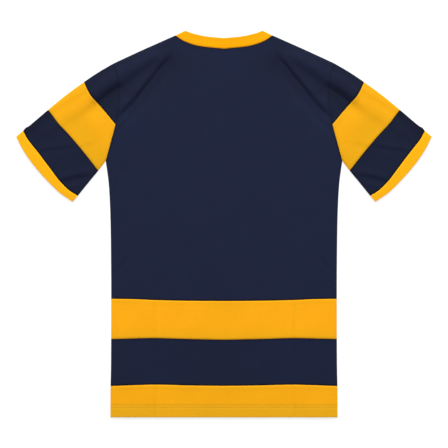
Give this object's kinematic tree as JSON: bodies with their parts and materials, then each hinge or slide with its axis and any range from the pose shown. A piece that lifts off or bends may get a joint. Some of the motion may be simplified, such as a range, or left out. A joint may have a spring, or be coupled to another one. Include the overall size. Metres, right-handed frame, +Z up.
{
  "type": "sports jersey laid flat",
  "caption": "Short-sleeved round-necked sports jersey with broad hoops on body and sleeves, laid flat with its back up.",
  "frame": {"origin": "on the surface it lies on, under the middle of its box", "axes": "+X towards the wearer's right sleeve, +Y towards the neck, +Z up from the surface through the back of the jersey"},
  "size_m": [0.831, 0.7727, 0.0067],
  "materials": {
    "navy_knit": "matt polyester knit",
    "gold_knit": "matt polyester knit",
    "gold_trim": "ribbed polyester knit"
  },
  "bodies": {
    "root": {"back_body": "navy_knit", "back_hoop_upper": "gold_knit", "back_hoop_middle": "navy_knit", "back_hoop_hem": "gold_knit", "front_body": "navy_knit", "front_hoop_upper": "gold_knit", "front_hoop_middle": "navy_knit", "front_hoop_hem": "gold_knit", "sleeve_cap_left": "navy_knit", "sleeve_cap_right": "navy_knit", "sleeve_hoop_gold_left": "gold_knit", "sleeve_hoop_gold_right": "gold_knit", "sleeve_hoop_navy_left": "navy_knit", "sleeve_hoop_navy_right": "navy_knit", "cuff_left": "gold_trim", "cuff_right": "gold_trim", "neck_band": "gold_trim"}
  },
  "joints": []
}
